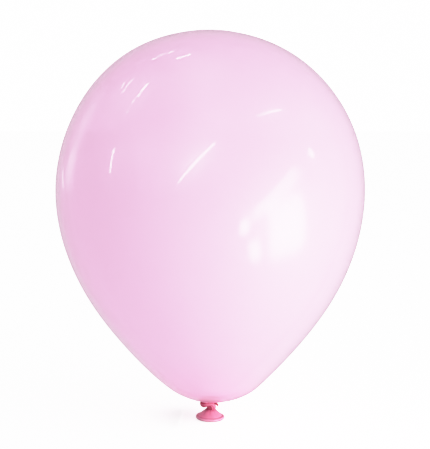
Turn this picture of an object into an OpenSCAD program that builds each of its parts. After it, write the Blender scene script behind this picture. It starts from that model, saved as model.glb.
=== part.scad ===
// A party balloon of dipped latex film, blown up and tied off with an overhand knot.
// It stands on its rolled lip. Origin: centre of the lip's foot, +Z up through the crown.

/* [Envelope] */
// Diameter at the girth, the widest part
girth_d = 290; // [240:1:310]
// Bend radius of the film at the crown, as a share of the girth's radius
crown_bend = 1.02; // [0.9:0.01:1.1]
// Bend radius at the shoulder, as a share of the girth's radius
shoulder_bend = 1.03; // [0.95:0.01:1.1]
// Bend radius at the girth, as a share of the girth's radius
girth_bend = 1.16; // [1:0.01:1.3]
// Bend radius on the flank below the girth, as a share of the girth's radius
flank_bend = 1.75; // [1.6:0.01:1.9]
// Bend radius where the flank runs nearly straight, as a share of the girth's radius
taper_bend = 3.70; // [3:0.05:4]
// Bend radius at the heel, where the film turns in under the balloon
heel_bend = 0.34; // [0.25:0.01:0.45]
// Bend radius of the seat round the knot, as a share of the girth's radius
seat_bend = 0.73; // [0.6:0.01:0.85]
// Wall of the blown film, thickened for a solid
film_wall = 0.4; // [0.3:0.05:0.8]

/* [Neck] */
// Diameter of the ring where the blown film ends and its gathers start
neck_d = 20; // [20:0.5:24]
// How far the gathers dimple up into the envelope
dimple_h = 3.6; // [3:0.1:5]
// Wall of the unblown film in the gathers and the tail
neck_wall = 0.5; // [0.3:0.05:0.6]

/* [Knot] */
// Thickness of the twisted neck that wraps round itself
wrap_cord = 5; // [4:0.1:5.2]
// Outside diameter of the wrap
wrap_d = 16.2; // [15.5:0.1:17]
// Lean of the wrap to one side, in degrees
wrap_lean = 8; // [0:1:10]
// Diameter of the swollen waist between the knot and the skirt
waist_d = 10; // [9:0.1:10.4]

/* [Tail] */
// Outside diameter of the rolled lip
lip_d = 27; // [25:0.5:30]
// Thickness of the lip's bead
bead_d = 3.2; // [2.6:0.1:3.6]
// Height of the waist above the foot
waist_h = 10; // [9.5:0.1:12]

/* [Hidden] */
$fn = 96;

film_pink = [0.96, 0.80, 0.90];
gather_pink = [0.97, 0.66, 0.80];
knot_pink = [0.88, 0.40, 0.58];
tail_pink = [0.96, 0.55, 0.70];

gap = 0.3;             // running gap between pieces that move on each other
squeeze = 0.15;        // how far the wrap bites into the neck that it grips
foot_squash = 0.15;    // how much the bead flattens where it stands

// Heights above the foot
bead_r = bead_d / 2;
bead_z = bead_r - foot_squash;
waist_r = waist_d / 2;
wrap_z = waist_h + 5.4;
seat_z = waist_h + 9.6;    // the ring where the envelope ends
rock_z = seat_z + 1.8;     // the knot rocks about this point

wrap_ring_r = (wrap_d - wrap_cord) / 2;
core_r = wrap_ring_r - wrap_cord / 2 + squeeze;
head_r = core_r + 0.4;
lip_ring_r = lip_d / 2 - bead_r;
swing = 30;                // the skirt's rim sits this far under the waist, in degrees

// The outline of the blown film turns from level at the crown to nearly level at the
// seat. Each pair is a turn in degrees and the bend radius there.
bends = [
    [0, crown_bend], [50, shoulder_bend], [90, girth_bend], [122, flank_bend],
    [132, taper_bend], [140, heel_bend], [172, seat_bend]
];
turn_step = 2;
last_turn = 172;
function arc_at(turn) = lookup(turn + turn_step / 2, bends) * turn_step * PI / 180;

// Points [radius, depth under the crown, turn], with a girth radius of about 1
outline = [
    for (
        turn = 0, r = 0, depth = 0;
        turn <= last_turn;
        r = r + arc_at(turn) * cos(turn + turn_step / 2),
        depth = depth + arc_at(turn) * sin(turn + turn_step / 2),
        turn = turn + turn_step
    ) [r, depth, turn]
];
outline_scale = girth_d / 2 / max([for (p = outline) p[0]]);
blown = [
    for (p = outline)
        if (p[2] < 90 || p[0] * outline_scale > neck_d / 2 + 1)
            [p[0] * outline_scale, p[1] * outline_scale, p[2]]
];

// The last point runs on along its own tangent to the neck ring
end = blown[len(blown) - 1];
end_run = (end[0] - neck_d / 2) / -cos(end[2]);
film_depth = end[1] + end_run * sin(end[2]);
crown_z = seat_z + film_depth;
film = concat(blown, [[neck_d / 2, film_depth, end[2]]]);

function skin(inset) = [
    for (p = film) [max(p[0] - inset * sin(p[2]), 0), crown_z - p[1] - inset * cos(p[2])]
];
function backwards(points) = [for (i = [len(points) - 1 : -1 : 0]) points[i]];
function bezier(a, pull, b, steps = 10) = [
    for (i = [0 : steps])
        let (t = i / steps) a * (1 - t) * (1 - t) + pull * 2 * t * (1 - t) + b * t * t
];
function polar(r, angle) = [r * cos(angle), r * sin(angle)];

// The blown film, from the crown down to the ring round the knot
module envelope() {
    color(film_pink)
        rotate_extrude()
            polygon(concat(skin(0), backwards(skin(film_wall))));
}

// The unblown film that gathers from the envelope into the knot, as a shallow dimple
module neck_gather() {
    rim = [neck_d / 2 - gap, seat_z];
    throat = [head_r, seat_z + dimple_h];
    thick = [0, neck_wall];
    color(gather_pink)
        rotate_extrude()
            difference() {
                polygon([rim, rim + thick, throat + thick, throat]);
                translate([0, rock_z])
                    circle(head_r + gap);
            }
}

// The standing part of the neck: a round head in the gathers, a rope through the wrap,
// and the swollen waist that the skirt swings on
module knot_core() {
    waist_top = 0.9;
    waist_foot = -4;
    color(knot_pink)
        rotate_extrude()
            intersection() {
                union() {
                    translate([0, rock_z])
                        circle(head_r);
                    translate([0, waist_h])
                        square([core_r, rock_z - waist_h]);
                    translate([0, waist_h])
                        intersection() {
                            circle(waist_r);
                            translate([0, waist_foot])
                                square([waist_r, waist_top - waist_foot]);
                        }
                }
                square([waist_r, crown_z]);
            }
}

// The turn of the overhand knot that squeezes the neck shut
module knot_wrap() {
    color(knot_pink)
        translate([0, 0, wrap_z])
            rotate([0, wrap_lean, 0])
                rotate_extrude()
                    translate([wrap_ring_r, 0])
                        circle(wrap_cord / 2);
}

// The free end of the neck, which flares from the waist to the lip
module tail_skirt() {
    rim_in = [0, waist_h] + polar(waist_r + gap, -swing);
    rim_out = [0, waist_h] + polar(waist_r + gap + neck_wall, -swing);
    hem = [lip_ring_r, bead_z + bead_r / 2];
    pull = [hem[0] - 4.8, hem[1] + 0.8];
    wall = [-neck_wall, -neck_wall] * 0.7;
    color(tail_pink)
        rotate_extrude()
            difference() {
                polygon(concat(
                    bezier(rim_out, pull, hem),
                    bezier(hem + wall, pull + wall, rim_in)
                ));
                translate([lip_ring_r, bead_z])
                    circle(bead_r);
            }
}

// The mouth's edge, rolled outwards on itself into a bead
module rolled_lip() {
    color(tail_pink)
        rotate_extrude()
            intersection() {
                translate([lip_ring_r, bead_z])
                    circle(bead_r);
                square([lip_d, bead_d]);
            }
}

envelope();
neck_gather();
knot_core();
knot_wrap();
tail_skirt();
rolled_lip();
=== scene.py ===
"""A blown and tied latex party balloon, standing on its rolled lip on a pale studio floor."""

import math

import bpy
import numpy as np
from mathutils import Matrix, Vector


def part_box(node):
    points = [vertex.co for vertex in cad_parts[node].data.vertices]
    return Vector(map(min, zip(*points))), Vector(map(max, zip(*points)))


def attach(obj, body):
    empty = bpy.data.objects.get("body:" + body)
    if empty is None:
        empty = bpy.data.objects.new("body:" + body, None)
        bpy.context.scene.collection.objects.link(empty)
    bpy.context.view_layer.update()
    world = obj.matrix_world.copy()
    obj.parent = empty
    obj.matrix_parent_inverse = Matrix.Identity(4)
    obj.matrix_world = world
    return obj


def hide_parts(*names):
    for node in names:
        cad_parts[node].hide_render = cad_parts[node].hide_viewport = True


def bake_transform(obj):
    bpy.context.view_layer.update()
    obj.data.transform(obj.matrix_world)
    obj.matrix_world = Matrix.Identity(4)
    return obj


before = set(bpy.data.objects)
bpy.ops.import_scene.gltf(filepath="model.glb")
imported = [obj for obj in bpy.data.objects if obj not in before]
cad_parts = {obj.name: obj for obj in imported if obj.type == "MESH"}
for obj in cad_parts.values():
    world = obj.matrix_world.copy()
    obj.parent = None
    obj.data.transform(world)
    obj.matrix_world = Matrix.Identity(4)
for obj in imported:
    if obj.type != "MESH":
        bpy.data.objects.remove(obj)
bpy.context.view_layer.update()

# ---------------------------------------------------------------------------------------
# The camera: a short telephoto one metre off, a little above the girth and looking down,
# so that the balloon sits just left of the middle of the frame.
camera_data = bpy.data.cameras.new("studio_camera")
camera_data.sensor_width = 36
camera_data.lens = 85.2
camera = bpy.data.objects.new("studio_camera", camera_data)
camera.location = (0.0048, -1.0, 0.325)
camera.rotation_euler = (math.radians(90 - 7.665), 0, 0)
bpy.context.scene.collection.objects.link(camera)
bpy.context.scene.camera = camera

# ---------------------------------------------------------------------------------------
# The envelope: latex film blown to a full teardrop, 290 mm across the girth and about
# 0.02 mm thick. It is dipped, so it has no seam, and it draws in to pleats at the knot.
envelope_low, envelope_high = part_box("envelope")
girth_radius = (envelope_high.x - envelope_low.x) / 2
crown_height = envelope_high.z
seat_height = envelope_low.z
seat_radius = 0.0106

# How sharply the film bends at each turn of its outline, from level at the crown to
# nearly level at the seat: the turn in degrees, and the bend radius over the girth's.
bend_turns = [0, 30, 60, 90, 122, 132, 140, 172]
bend_radii = [1.14, 0.93, 1.10, 1.16, 1.75, 3.70, 0.34, 0.73]


def blown_outline(steps=172):
    """Radius and height down the film, from the crown to the seat ring."""
    turn = np.linspace(0, bend_turns[-1], steps + 1)
    middle = np.radians((turn[1:] + turn[:-1]) / 2)
    run = np.interp(np.degrees(middle), bend_turns, bend_radii) * np.diff(np.radians(turn))
    radius = np.concatenate([[0], np.cumsum(run * np.cos(middle))])
    depth = np.concatenate([[0], np.cumsum(run * np.sin(middle))])
    scale = girth_radius / radius.max()
    radius, depth = radius * scale, depth * scale
    keep = (turn < 90) | (radius > seat_radius + 0.0004)
    radius, depth = radius[keep], depth[keep]
    run_on = (radius[-1] - seat_radius) * math.tan(math.radians(180 - bend_turns[-1]))
    radius = np.append(radius, seat_radius)
    depth = np.append(depth, depth[-1] + run_on)
    height = crown_height - depth * (crown_height - seat_height) / depth[-1]
    return radius, height


def ease(value, start, end):
    """0 before start, 1 after end, and smooth between."""
    t = np.clip((value - start) / (end - start), 0, 1)
    return t * t * (3 - 2 * t)


def turned_skin(name, rings, close_top=False, fold_shades=None):
    """A skin through rings of (x, y, z) points, with the fold shade painted on each of them."""
    rings = np.asarray(rings)
    count, round_count = rings.shape[:2]
    points = rings.reshape(-1, 3)
    index = np.arange(count * round_count).reshape(count, round_count)
    here, below = index[:-1], index[1:]
    quads = np.stack([here, below, np.roll(below, -1, 1), np.roll(here, -1, 1)], -1)
    faces = quads.reshape(-1, 4).tolist()
    points = points.tolist()
    if close_top:
        points.append(list(rings[0].mean(0)))
        tip = len(points) - 1
        faces += [[tip, int(a), int(b)] for a, b in zip(index[0], np.roll(index[0], -1))]
    mesh = bpy.data.meshes.new(name)
    mesh.from_pydata(points, [], faces)
    if fold_shades is not None:
        fold_shades = np.append(np.asarray(fold_shades).ravel(), [0.5] * (len(points) - index.size))
        mesh.attributes.new("fold_shade", "FLOAT", "POINT").data.foreach_set("value", fold_shades)
    mesh.polygons.foreach_set("use_smooth", [True] * len(mesh.polygons))
    piece = bpy.data.objects.new(name, mesh)
    bpy.context.scene.collection.objects.link(piece)
    return piece


# Pleats of the neck: uneven folds that run up from the knot and fade out on the film.
# Each set has its number round the neck, where it starts, and its share of the height.
pleat_turns = [(11, 0.3, 0.45), (17, 1.9, 0.35), (26, 4.1, 0.2)]
pleat_height = 0.00045
pleat_reach = 0.034


def pleats(angle):
    """The height of the neck's folds round the axis, from about -1 to 1."""
    return sum(share * np.sin(number * angle + start) for number, start, share in pleat_turns)


def settle(height):
    """How far the film leans aside at a height: the crown to the left, the heel right."""
    lean = 0.0016 - 0.0105 * (height - 0.06)
    shoulder = 0.0015 * np.exp(-(((height - 0.30) / 0.07) ** 2))
    heel = 0.0013 * np.exp(-(((height - 0.028) / 0.014) ** 2))
    return (lean + shoulder + heel) * ease(height, seat_height, seat_height + 0.004)


angle = np.linspace(0, 2 * math.pi, 240, endpoint=False)
crown_dot = 0.0004
film_rings = []
for r, z in zip(*blown_outline()):
    folds = pleats(angle) * pleat_height * (1 - ease(r, seat_radius, pleat_reach))
    aside = settle(z)
    r = max(r, crown_dot)
    film_rings.append(np.stack([r * np.cos(angle) + aside, r * np.sin(angle), z + folds], -1))
film = turned_skin("envelope_film", film_rings, close_top=True)


def new_material(name):
    """An empty node material and its nodes, links and output."""
    material = bpy.data.materials.new(name)
    material.use_nodes = True
    nodes, links = material.node_tree.nodes, material.node_tree.links
    nodes.clear()
    return material, nodes, links, nodes.new("ShaderNodeOutputMaterial")


def graded(nodes, links, value, start, end, low=0.0, high=1.0, kind="SMOOTHSTEP"):
    """Goes from low to high while the value goes from start to end."""
    grade = nodes.new("ShaderNodeMapRange")
    grade.interpolation_type = kind
    grade.inputs["From Min"].default_value = start
    grade.inputs["From Max"].default_value = end
    grade.inputs["To Min"].default_value = low
    grade.inputs["To Max"].default_value = high
    links.new(value, grade.inputs["Value"])
    return grade.outputs["Result"]


def feed(links, value, socket):
    """Gives a socket either a plain number or another node's output."""
    if isinstance(value, (int, float)):
        socket.default_value = value
    else:
        links.new(value, socket)


def worked_out(nodes, links, operation, *values):
    """One step of arithmetic on outputs and plain numbers."""
    step = nodes.new("ShaderNodeMath")
    step.operation = operation
    for value, socket in zip(values, step.inputs):
        feed(links, value, socket)
    return step.outputs["Value"]


def mixed(nodes, links, share, first, second):
    """Two shaders in one, with the second one's share."""
    mix = nodes.new("ShaderNodeMixShader")
    feed(links, share, mix.inputs["Fac"])
    links.new(first, mix.inputs[1])
    links.new(second, mix.inputs[2])
    return mix.outputs["Shader"]


def milky(nodes, links, tint, scatter, passing):
    """Coloured rubber that scatters most of the light and lets a share of it through."""
    links.new(tint, scatter.inputs["Base Color"])
    through = nodes.new("ShaderNodeBsdfTranslucent")
    links.new(tint, through.inputs["Color"])
    return mixed(nodes, links, passing, scatter.outputs["BSDF"], through.outputs["BSDF"])


def blown_film():
    """Milky pink latex: part of the light scatters, part passes, and the skin is glossy."""
    material, nodes, links, output = new_material("blown_film")
    place = nodes.new("ShaderNodeTexCoord").outputs["Object"]
    split = nodes.new("ShaderNodeSeparateXYZ")
    links.new(place, split.inputs[0])
    height = graded(nodes, links, split.outputs["Z"], 0.016, 0.085)
    tint = nodes.new("ShaderNodeValToRGB")
    tint.color_ramp.elements[0].color = (1.0, 0.475, 0.675, 1)
    tint.color_ramp.elements[1].color = (0.82, 0.61, 0.743, 1)
    tint.color_ramp.elements.new(0.35).color = (0.90, 0.60, 0.755, 1)
    links.new(height, tint.inputs["Fac"])

    scatter = nodes.new("ShaderNodeBsdfPrincipled")
    scatter.inputs["Roughness"].default_value = 0.4
    scatter.inputs["Specular IOR Level"].default_value = 0.6
    scatter.inputs["Coat Weight"].default_value = 1.0
    scatter.inputs["Coat Roughness"].default_value = 0.008
    milk = milky(nodes, links, tint.outputs["Color"], scatter, 0.4)

    # The film is see-through where it is thin, in soft clouds, and less so at a slant
    cloud = nodes.new("ShaderNodeTexNoise")
    cloud.inputs["Scale"].default_value = 9
    cloud.inputs["Detail"].default_value = 3
    links.new(place, cloud.inputs["Vector"])
    clear = nodes.new("ShaderNodeBsdfTransparent")
    clear.inputs["Color"].default_value = (0.93, 0.72, 0.86, 1)
    slant = nodes.new("ShaderNodeLayerWeight")
    slant.inputs["Blend"].default_value = 0.5
    facing = slant.outputs["Facing"]
    thicker = graded(nodes, links, facing, 0.55, 1.0, 0.0, 0.3, "LINEAR")
    share = graded(nodes, links, cloud.outputs["Fac"], 0.0, 1.0, 0.60, 0.68, "LINEAR")
    total = worked_out(nodes, links, "ADD", share, thicker)
    skin = mixed(nodes, links, total, clear.outputs["BSDF"], milk)

    # Seen almost edge-on the skin is a mirror, which draws the thin grey line round it
    mirror = nodes.new("ShaderNodeBsdfGlossy")
    mirror.inputs["Roughness"].default_value = 0.05
    edge = graded(nodes, links, facing, 0.66, 0.90, 0.0, 0.24)
    links.new(mixed(nodes, links, edge, skin, mirror.outputs["BSDF"]), output.inputs["Surface"])
    return material


film.data.materials.append(blown_film())
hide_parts("envelope")
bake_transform(film)

# ---------------------------------------------------------------------------------------
# The neck's gathers: unblown film that puckers in from the envelope to the knot's grip,
# thicker and a deeper pink than the blown film that it runs on from.
grip_radius = 0.0040
grip_height = 0.0168
# Their section from seat to grip: how far along, how far out, and how far down
gather_route = [
    (0.00, 1.00, 0.00),
    (0.25, 0.93, 0.22),
    (0.50, 0.80, 0.55),
    (0.75, 0.45, 0.90),
    (1.00, 0.00, 1.00),
]
gather_fold = 0.0011
gather_lift = 0.0005
gather_aside = 0.0007


def creases(turn, *sets, sharpness=2):
    """0 on the round ridges to 1 in the sharp valleys, for sets of share, number and start."""
    return sum(
        share * (1 - abs(np.sin(number * turn + start))) ** sharpness
        for share, number, start in sets
    )


def pucker(angle):
    """How deep the gathers' folds are round the neck, unevenly spaced."""
    wander = angle + 0.10 * np.sin(3 * angle + 1.0) + 0.05 * np.sin(8 * angle)
    return creases(wander, (0.7, 7.5, 0), (0.3, 12, 1))


gather_rings, gather_fold_shades = [], []
gather_along, gather_out, gather_down = zip(*gather_route)
for t in np.linspace(0, 1, 34):
    out = np.interp(t, gather_along, gather_out)
    down = np.interp(t, gather_along, gather_down)
    grow = ease(t, 0.0, 0.45)
    valley = pucker(angle) * grow
    r = grip_radius + (seat_radius - grip_radius) * out - gather_fold * valley * (1 - 0.6 * t)
    z = seat_height + (grip_height - seat_height) * down + pleats(angle) * pleat_height * (1 - grow)
    z = z + gather_lift * valley
    aside = -gather_aside * math.sin(math.pi * t)
    gather_rings.append(np.stack([r * np.cos(angle) + aside, r * np.sin(angle), z], -1))
    # Painted shade: the pucker valleys are coloured darker.
    gather_fold_shades.append(valley)
gathers = turned_skin("neck_gathers", gather_rings, fold_shades=gather_fold_shades)


def folded_film(name, pale, deep_and_shaded, roughness, passing=0.1, relief=0.35):
    """Unblown latex: thick, satin and strongly coloured, with shade painted darker down in its folds."""
    material, nodes, links, output = new_material(name)
    place = nodes.new("ShaderNodeTexCoord").outputs["Object"]
    cloud = nodes.new("ShaderNodeTexNoise")
    cloud.inputs["Scale"].default_value = 260
    cloud.inputs["Detail"].default_value = 4
    links.new(place, cloud.inputs["Vector"])
    folds = nodes.new("ShaderNodeAttribute")
    folds.attribute_name = "fold_shade"
    # The colour goes from pale to deep with a random mottle and the fold shade attribute, which paints
    # shade into folds, creases and recesses.
    mottle_and_shade = worked_out(
        nodes, links, "MULTIPLY_ADD", cloud.outputs["Fac"], 0.35, folds.outputs["Fac"]
    )
    tint = nodes.new("ShaderNodeValToRGB")
    tint.color_ramp.elements[0].position = 0.12
    tint.color_ramp.elements[1].position = 0.95
    tint.color_ramp.elements[0].color = (*pale, 1)
    tint.color_ramp.elements[1].color = (*deep_and_shaded, 1)
    links.new(mottle_and_shade, tint.inputs["Fac"])

    wrinkle = nodes.new("ShaderNodeTexNoise")
    wrinkle.inputs["Scale"].default_value = 700
    wrinkle.inputs["Detail"].default_value = 5
    links.new(place, wrinkle.inputs["Vector"])
    surface = nodes.new("ShaderNodeBump")
    surface.inputs["Strength"].default_value = relief
    surface.inputs["Distance"].default_value = 0.0002
    links.new(wrinkle.outputs["Fac"], surface.inputs["Height"])

    scatter = nodes.new("ShaderNodeBsdfPrincipled")
    scatter.inputs["Roughness"].default_value = roughness
    scatter.inputs["Specular IOR Level"].default_value = 0.3
    scatter.inputs["Coat Weight"].default_value = 0.25
    scatter.inputs["Coat Roughness"].default_value = 0.15
    links.new(surface.outputs["Normal"], scatter.inputs["Normal"])
    milk = milky(nodes, links, tint.outputs["Color"], scatter, passing)
    links.new(milk, output.inputs["Surface"])
    return material


gathers.data.materials.append(
    folded_film("gather_film", (1.0, 0.46, 0.64), (0.78, 0.15, 0.27), 0.35, 0.25)
)
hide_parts("neck_gather")
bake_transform(gathers)

# ---------------------------------------------------------------------------------------
# The knot's core: the neck of the balloon, twisted to a rope where it stands up through
# the knot. It lies deep in the knot and swells again below it, where the grip ends.
core_turn = np.linspace(0, 2 * math.pi, 120, endpoint=False)
core_top, core_foot = 0.0182, 0.0080
core_radius, core_swell, core_crease = 0.0036, 0.0009, 0.0007
core_rings, core_shades = [], []
for t in np.linspace(0, 1, 70):
    twist = core_turn + 1.9 * t + 0.25 * math.sin(5 * t)
    valley = creases(twist, (0.65, 3.5, 0), (0.35, 8, 0.7), sharpness=1.5)
    r = core_radius + core_swell * ease(t, 0.72, 0.90) - core_crease * valley
    z = np.full_like(r, core_top + (core_foot - core_top) * t)
    core_rings.append(np.stack([r * np.cos(core_turn) + 0.0002, r * np.sin(core_turn), z], -1))
    # Painted shade: the rope is coloured dark in its creases and all through the knot, and lighter only
    # where it swells below.
    core_shades.append(valley + 1 - float(ease(t, 0.84, 0.95)))
core = turned_skin("knot_core_rope", core_rings, close_top=True, fold_shades=core_shades)
knot_rubber = folded_film("knot_rubber", (0.94, 0.25, 0.42), (0.52, 0.03, 0.10), 0.36)
core.data.materials.append(knot_rubber)
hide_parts("knot_core")
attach(core, "knot")

# ---------------------------------------------------------------------------------------
# The knot's wrap: the same twisted neck, led once round the core, over its front and down
# into the tail. It is pulled tight, so it is flattened and creased along its length.
# The turn's route in mm from the foot of the balloon: x, y, z, half height, half depth
wrap_route = [
    (8.0, -1.2, 13.1, 0.9, 0.8),
    (6.4, 1.0, 14.1, 1.1, 1.0),
    (3.2, 4.4, 14.8, 2.0, 1.8),
    (-1.6, 5.6, 14.8, 2.2, 2.0),
    (-6.2, 3.0, 14.5, 2.6, 2.2),
    (-7.5, -1.0, 14.4, 2.9, 2.2),
    (-5.4, -4.5, 14.6, 2.5, 2.0),
    (-2.2, -6.0, 15.9, 1.9, 1.7),
    (1.3, -6.0, 16.1, 2.1, 1.8),
    (3.3, -4.6, 13.6, 2.4, 1.8),
    (3.3, -3.0, 10.9, 2.3, 1.7),
    (2.8, -1.8, 9.3, 1.4, 1.1),
]


def led_route(stations, steps):
    """Even points on one smooth curve through the stations."""
    stations = np.array(stations, float)
    first, last = 2 * stations[0] - stations[1], 2 * stations[-1] - stations[-2]
    held = np.concatenate([[first], stations, [last]])
    points = []
    for t in np.linspace(0, len(stations) - 1, steps):
        k = min(int(t), len(stations) - 2)
        u = t - k
        before, start, stop, after = held[k : k + 4]
        bend = (2 * before - 5 * start + 4 * stop - after) * u**2
        turn_back = (3 * start - 3 * stop + after - before) * u**3
        points.append(0.5 * (2 * start + (stop - before) * u + bend + turn_back))
    return np.array(points)


def led_cord(name, route, roll, round_count=72):
    """A soft, creased band along a route, rolled to one side, with shade painted in its creases, on its
    inner face and at the left.
    """
    path, half = route[:, :3] / 1000, route[:, 3:] / 1000
    along = np.gradient(path, axis=0)
    along /= np.linalg.norm(along, axis=1)[:, None]
    out = path * np.array([1, 1, 0])
    out -= (out * along).sum(1)[:, None] * along
    out /= np.linalg.norm(out, axis=1)[:, None]
    across = np.cross(along, out)
    across *= np.sign(across[:, 2:] + 1e-9)
    turn = np.linspace(0, 2 * math.pi, round_count, endpoint=False)
    rings, fold_shades = [], []
    for k, t in enumerate(np.linspace(0, 1, len(path))):
        wander = turn + 0.4 + 0.5 * math.sin(5 * t) + 1.2 * t
        valley = creases(wander, (0.6, 2.5, 0), (0.4, 5.5, 0.8))
        size = 1 - 0.22 * valley
        tip = math.sqrt(max(0.0, 1 - max(0.0, 1 - min(t, 1 - t) / 0.03) ** 2))
        high, thick = half[k] * max(tip, 0.08)
        up = across[k] * math.cos(roll) + out[k] * math.sin(roll)
        side = out[k] * math.cos(roll) - across[k] * math.sin(roll)
        rings.append(
            path[k]
            + (high * size * np.cos(turn))[:, None] * up
            + (thick * size * np.sin(turn))[:, None] * side
        )
        # Painted shade: the band is coloured darker in its creases, on its inner face and towards the
        # left, away from the key light.
        painted_left_shade = 0.4 * float(ease(-path[k][0], 0.002, 0.006))
        fold_shades.append(valley + 0.5 * np.clip(-np.sin(turn), 0, 1) + painted_left_shade)
    return turned_skin(name, rings, close_top=True, fold_shades=fold_shades)


wrap = led_cord("knot_wrap_turn", led_route(wrap_route, 170), math.radians(38))
wrap.data.materials.append(knot_rubber)
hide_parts("knot_wrap")
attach(wrap, "knot")

# ---------------------------------------------------------------------------------------
# The tail's skirt: the free end of the neck, which opens from the waist to the mouth in
# a short bell. The film is its full unblown thickness here, with soft flutes at the top.
lip_low, lip_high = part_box("rolled_lip")
lip_radius = (lip_high.x - lip_low.x) / 2
bead_radius = (lip_high.z - lip_low.z) / 2
bead_ring = lip_radius - bead_radius + 0.0005
waist_height = 0.0102
waist_radius = 0.0043
tail_tilt = math.radians(1.5)


def tail_lean(points):
    """Tips the mouth, so that its right side stands and its left side is a little raised."""
    points = np.array(points)
    share = 1 - ease(points[..., 2], 0.004, waist_height)
    points[..., 2] += share * math.tan(tail_tilt) * (bead_ring - points[..., 0])
    return points


skirt_rings, skirt_shades = [], []
hem_height = bead_radius * 2.02
hem_radius = bead_ring - 0.0004
flute_depth = 0.0006
for t in np.linspace(0, 1, 48):
    valley = creases(angle, (0.6, 4.5, 0.9 + 0.5 * t), (0.4, 8, 0.2))
    fade = (1 - t) ** 1.6
    r = waist_radius + (hem_radius - waist_radius) * t ** 1.12 - flute_depth * valley * fade
    r = r + 0.00012 * np.sin(5 * angle + 1) * math.sin(math.pi * t)
    z = np.full_like(r, waist_height + (hem_height - waist_height) * t ** 0.96)
    skirt_rings.append(np.stack([r * np.cos(angle) + 0.0004 * (1 - t), r * np.sin(angle), z], -1))
    # Painted shade: darker in the flutes, in the groove at the hem and at the waist under the knot.
    skirt_shades.append(0.45 * valley * fade + 0.4 * float(ease(t, 0.95, 1.0)) + 0.7 * (1 - t) ** 5)
skirt = turned_skin("tail_skirt_film", tail_lean(skirt_rings), fold_shades=skirt_shades)
wall = skirt.modifiers.new("film_wall", "SOLIDIFY")
wall.thickness = 0.0004
wall.offset = -1
skirt.data.materials.append(
    folded_film("tail_film", (0.97, 0.34, 0.52), (0.50, 0.04, 0.13), 0.36, 0.15, 0.2)
)
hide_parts("tail_skirt")
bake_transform(skirt)

# ---------------------------------------------------------------------------------------
# The rolled lip: the mouth's edge, rolled outwards on itself into a bead before the
# latex was cured. Faint lines show the layers of the roll.
roll_turn = np.linspace(0, 2 * math.pi, 56, endpoint=False)
lip_rings, lip_shades = [], []
for a in roll_turn:
    thick = bead_radius * (1 + 0.045 * np.cos(3 * angle + 0.8) + 0.03 * np.cos(7 * angle))
    layer = (1 - abs(math.sin(3 * a + 0.5))) ** 6
    ridge = 1 - 0.05 * layer
    r = bead_ring + thick * ridge * math.cos(a)
    z = bead_radius + thick * ridge * math.sin(a)
    lip_rings.append(np.stack([r * np.cos(angle), r * np.sin(angle), z], -1))
    # Painted shade: darker along the creases between the roll's layers and on the bead's inner top,
    # where the skirt meets it.
    lip_shades.append(np.full_like(r, 0.4 * layer + 0.7 * max(0.0, math.cos(a - 2.1)) ** 2))
lip_rings.append(lip_rings[0])
lip_shades.append(lip_shades[0])
lip_points = tail_lean(lip_rings)
lip_points[..., 2] = np.maximum(lip_points[..., 2], 0)
lip = turned_skin("rolled_lip_bead", lip_points, fold_shades=lip_shades)
lip.data.materials.append(
    folded_film("lip_rubber", (0.97, 0.39, 0.57), (0.52, 0.05, 0.14), 0.34, 0.1, 0.15)
)
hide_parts("rolled_lip")
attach(lip, "tail")

# ---------------------------------------------------------------------------------------
# The studio floor: white paper that runs out of sight and is lit from below, so that it
# stays white. Its glow is painted dimmer beside the foot, a painted shadow of the balloon.
floor_mesh = bpy.data.meshes.new("studio_floor")
reach = 6.0
floor_mesh.from_pydata(
    [(-reach, -reach, 0), (reach, -reach, 0), (reach, reach, 0), (-reach, reach, 0)],
    [],
    [[0, 1, 2, 3]],
)
floor = bpy.data.objects.new("studio_floor", floor_mesh)
bpy.context.scene.collection.objects.link(floor)
paper, nodes, links, output = new_material("white_paper")
matt = nodes.new("ShaderNodeBsdfDiffuse")
matt.inputs["Color"].default_value = (0.93, 0.93, 0.93, 1)
glow = nodes.new("ShaderNodeEmission")
place = nodes.new("ShaderNodeTexCoord")
# Painted shadow: the floor's glow is weaker within 45 mm of a point just left of and behind the foot.
nearness = nodes.new("ShaderNodeVectorMath")
nearness.operation = "DISTANCE"
nearness.inputs[1].default_value = (-0.030, 0.016, 0)
links.new(place.outputs["Object"], nearness.inputs[0])
painted_shadow_glow = graded(nodes, links, nearness.outputs["Value"], 0.0, 0.045, 0.62, 0.92)
links.new(painted_shadow_glow, glow.inputs["Strength"])
both = nodes.new("ShaderNodeAddShader")
links.new(matt.outputs["BSDF"], both.inputs[0])
links.new(glow.outputs["Emission"], both.inputs[1])
links.new(both.outputs["Shader"], output.inputs["Surface"])
floor_mesh.materials.append(paper)
floor.visible_glossy = False
floor.visible_diffuse = False
floor.visible_shadow = False

# ---------------------------------------------------------------------------------------
# Two grey cards, as a studio stands beside small work: one holds light off the knot's left
# and one off its underside. They shade, but neither the view nor the gloss shows them.


def grey_card(name, corners):
    """A dull card with the given corners."""
    mesh = bpy.data.meshes.new(name)
    mesh.from_pydata(corners, [], [list(range(len(corners)))])
    card = bpy.data.objects.new(name, mesh)
    bpy.context.scene.collection.objects.link(card)
    dull, nodes, links, output = new_material(name)
    coat = nodes.new("ShaderNodeBsdfDiffuse")
    coat.inputs["Color"].default_value = (0.12, 0.12, 0.12, 1)
    links.new(coat.outputs["BSDF"], output.inputs["Surface"])
    mesh.materials.append(dull)
    card.visible_camera = False
    card.visible_glossy = False


flag_front, flag_back = (-0.030, -0.028), (-0.026, 0.030)
flag_foot, flag_top = 0.001, 0.018
grey_card(
    "flag_left",
    [(*flag_front, flag_foot), (*flag_back, flag_foot), (*flag_back, flag_top), (*flag_front, flag_top)],
)
foot_card_radius = 0.0165
foot_card_height = -0.0004
grey_card(
    "foot_card",
    [
        (foot_card_radius * math.cos(a), foot_card_radius * math.sin(a), foot_card_height)
        for a in angle[::10]
    ],
)

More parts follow.
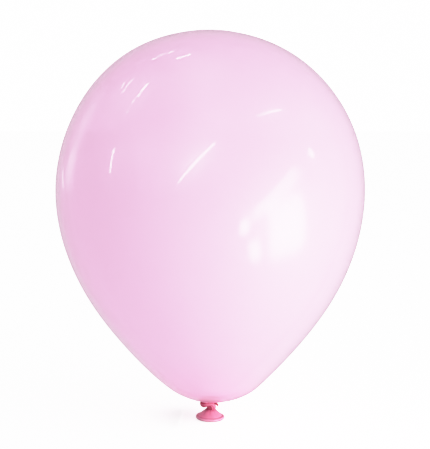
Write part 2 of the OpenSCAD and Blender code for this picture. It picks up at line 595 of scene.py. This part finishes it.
# ---------------------------------------------------------------------------------------
# The studio walls: white all round, brighter to the right and darker at the far end. The
# gloss also finds a bright bank of light at the front right, which isn't seen directly.
world = bpy.data.worlds.new("white_studio")
world.use_nodes = True
bpy.context.scene.world = world
nodes, links = world.node_tree.nodes, world.node_tree.links
nodes.clear()
backdrop = nodes.new("ShaderNodeBackground")
backdrop.inputs["Color"].default_value = (1, 1, 1, 1)
backdrop.inputs["Strength"].default_value = 1.9
walls = nodes.new("ShaderNodeBackground")
direction = nodes.new("ShaderNodeTexCoord")
split = nodes.new("ShaderNodeSeparateXYZ")
links.new(direction.outputs["Generated"], split.inputs[0])
side = graded(nodes, links, split.outputs["X"], -0.9, 0.9, 0.62, 1.75)
depth = graded(nodes, links, split.outputs["Y"], 0.2, 0.9)
level = nodes.new("ShaderNodeMix")
level.inputs["B"].default_value = 0.9
links.new(depth, level.inputs["Factor"])
links.new(side, level.inputs["A"])
toward = nodes.new("ShaderNodeVectorMath")
toward.operation = "DOT_PRODUCT"
toward.inputs[1].default_value = (0.45, -0.89, 0.0)
links.new(direction.outputs["Generated"], toward.inputs[0])
bank = graded(nodes, links, toward.outputs["Value"], -0.3, 0.8, 0.0, 2.1)
ray = nodes.new("ShaderNodeLightPath").outputs
shine = worked_out(
    nodes, links, "MULTIPLY_ADD", ray["Is Glossy Ray"], bank, level.outputs["Result"]
)
far_end = graded(nodes, links, split.outputs["Y"], 0.88, 1.0, 1.0, 0.72)
upward = graded(nodes, links, split.outputs["Z"], -1.0, 1.0, 1.25, 0.80, "LINEAR")
darker = worked_out(nodes, links, "MULTIPLY", shine, far_end)
strength = worked_out(nodes, links, "MULTIPLY", darker, upward)
links.new(strength, walls.inputs["Strength"])
wall_outputs = walls.outputs["Background"], backdrop.outputs["Background"]
shown = mixed(nodes, links, ray["Is Camera Ray"], *wall_outputs)
links.new(shown, nodes.new("ShaderNodeOutputWorld").inputs["Surface"])

# ---------------------------------------------------------------------------------------
# The room's lamps: ceiling tubes, a doorway and a tall window, which the glossy film
# reflects as bright marks, and a softbox and a floor bounce that light the film itself.


def soft_edges(data, edge):
    """Fades a lamp's light towards its edges, as cloth over its front does."""
    data.use_nodes = True
    nodes, links = data.node_tree.nodes, data.node_tree.links
    place = nodes.new("ShaderNodeNewGeometry")
    split = nodes.new("ShaderNodeSeparateXYZ")
    links.new(place.outputs["Parametric"], split.inputs[0])
    fades = []
    for axis in "XY":
        inward = worked_out(nodes, links, "PINGPONG", split.outputs[axis], 0.5)
        fades.append(graded(nodes, links, inward, 0.0, edge))
    strength = worked_out(nodes, links, "MULTIPLY", *fades)
    links.new(strength, nodes["Emission"].inputs["Strength"])


balloon_middle = Vector((0, 0, 0.22))


def strip_lamp(name, start, end, width, radiance, edge=0.0):
    """A flat lamp from start to end that faces the balloon and only shows as a reflection."""
    start, end = Vector(start), Vector(end)
    middle = (start + end) / 2
    away = (middle - balloon_middle).normalized()
    along = (end - start).normalized()
    across = away.cross(along).normalized()
    away = along.cross(across)
    data = bpy.data.lights.new(name, "AREA")
    data.shape = "RECTANGLE"
    data.size, data.size_y = width, (end - start).length
    data.energy = radiance * math.pi * width * (end - start).length
    lamp = bpy.data.objects.new(name, data)
    turn = Matrix((across, along, away)).transposed().to_4x4()
    lamp.matrix_world = Matrix.Translation(middle) @ turn
    lamp.visible_camera = False
    lamp.visible_diffuse = False
    bpy.context.scene.collection.objects.link(lamp)
    if edge:
        soft_edges(data, edge)
    return lamp


key = strip_lamp("key_softbox", (1.45, -0.85, 0.1), (1.1, -0.65, 1.2), 1.2, 2.7)
key.visible_diffuse = True
key.visible_glossy = False
bounce = strip_lamp("floor_bounce", (0.20, -0.42, 0.02), (0.46, -0.16, 0.02), 0.22, 2.0)
bounce.visible_diffuse = True
bounce.visible_glossy = False
strip_lamp("ceiling_tube_front", (-0.60, -1.51, 0.49), (0.09, -1.35, 1.15), 0.045, 18)
strip_lamp("ceiling_tube_front_glow", (-0.70, -1.50, 0.40), (0.20, -1.32, 1.25), 0.65, 4.5, 0.5)
strip_lamp("ceiling_tube_right", (0.78, -0.74, 1.44), (1.08, -0.29, 1.39), 0.04, 11)
strip_lamp("ceiling_tube_right_glow", (0.75, -0.75, 1.40), (1.10, -0.20, 1.35), 0.35, 3, 0.5)
strip_lamp("ceiling_tube_left", (-1.45, -0.34, 0.85), (-1.53, -0.43, 0.51), 0.04, 24)
strip_lamp("ceiling_tube_far_left", (-1.04, -0.04, 1.44), (-0.85, 0.10, 1.58), 0.045, 20)
strip_lamp("ceiling_tube_far_left_2", (-1.08, 0.46, 1.29), (-1.00, 0.56, 1.32), 0.035, 8)
strip_lamp("ceiling_tube_far_left_3", (-1.11, 0.34, 1.31), (-0.94, 0.46, 1.41), 0.035, 10)
strip_lamp("ceiling_spot_left_1", (-1.12, -0.06, 1.37), (-1.08, -0.04, 1.41), 0.04, 12)
strip_lamp("ceiling_spot_left_2", (-1.22, -0.12, 1.26), (-1.19, -0.15, 1.30), 0.04, 9)
strip_lamp("ceiling_tube_back_left", (-0.62, 0.69, 1.48), (-0.46, 0.74, 1.52), 0.035, 10)
strip_lamp("ceiling_tube_back_left_2", (-0.44, 0.71, 1.55), (-0.37, 0.76, 1.54), 0.035, 9)
strip_lamp("ceiling_tube_back", (-0.40, 0.45, 1.68), (-0.22, 0.52, 1.69), 0.045, 16)
strip_lamp("doorway_edge", (-1.07, 1.12, 0.28), (-1.21, 0.96, 0.12), 0.10, 2, 0.3)
strip_lamp("doorway_glow", (-1.33, 0.86, 0.03), (-1.34, 0.70, 0.72), 0.6, 2.8, 0.5)
strip_lamp("doorway_glow_high", (-1.32, 0.74, 0.42), (-1.05, 0.79, 1.14), 0.7, 1.5, 0.5)
strip_lamp("ceiling_bounce", (-1.38, 0.45, 0.72), (-0.35, -0.50, 1.80), 1.35, 2.0, 0.5)
strip_lamp("left_bounce", (-1.60, -0.10, 0.35), (-0.60, -1.10, 1.25), 1.0, 1.7, 0.5)
strip_lamp("front_bounce", (-1.20, -1.15, 0.55), (0.95, -1.00, 1.30), 1.3, 1.4, 0.5)
strip_lamp("ceiling_panel", (-0.12, -1.25, 1.20), (-0.05, 0.75, 1.60), 1.2, 1.9, 0.5)
strip_lamp("window_haze", (0.98, -1.35, 0.55), (0.95, -0.85, -0.80), 1.1, 1.6, 0.5)
strip_lamp("window_pane", (1.18, -1.00, 0.28), (1.18, -0.60, -0.65), 0.90, 11.5, 0.24)
strip_lamp("window_band", (0.64, -1.46, -0.17), (1.46, -0.60, 0.66), 0.26, 9, 0.25)
strip_lamp("window_low_1", (0.67, -1.46, -0.03), (0.59, -1.40, -0.44), 0.28, 16, 0.4)
strip_lamp("window_low_2", (0.74, -1.30, -0.36), (0.80, -1.03, -0.76), 0.34, 14, 0.4)
strip_lamp("window_high", (1.46, -0.36, 0.82), (1.52, -0.20, 0.67), 0.18, 13, 0.35)
strip_lamp("low_spot_left", (-1.13, -1.05, -0.30), (-1.08, -1.07, -0.36), 0.04, 9)
strip_lamp("low_spot_right", (0.84, -0.74, -0.96), (0.89, -0.70, -0.94), 0.05, 3)

# ---------------------------------------------------------------------------------------
# The tones: in proportion to the light up to the shoulder, and from there an even roll-off
# to white, as a camera gives them.
view = bpy.context.scene.view_settings
view.view_transform = "Standard"
view.use_curve_mapping = True
full_white = 2.0
shoulder = 0.7
tone = view.curve_mapping
tone.white_level = (full_white, full_white, full_white)
curve = tone.curves[3]
curve.points[0].location = (0, 0)
curve.points[1].location = (1, 1)
for level in np.linspace(shoulder, full_white, 9)[:-1]:
    soft = 1 - (1 - shoulder) * math.exp(-(level - shoulder) / (1 - shoulder))
    curve.points.new(level / full_white, soft)
for level in (0.15, 0.3, 0.45, 0.6):
    curve.points.new(level / full_white, level)
tone.update()
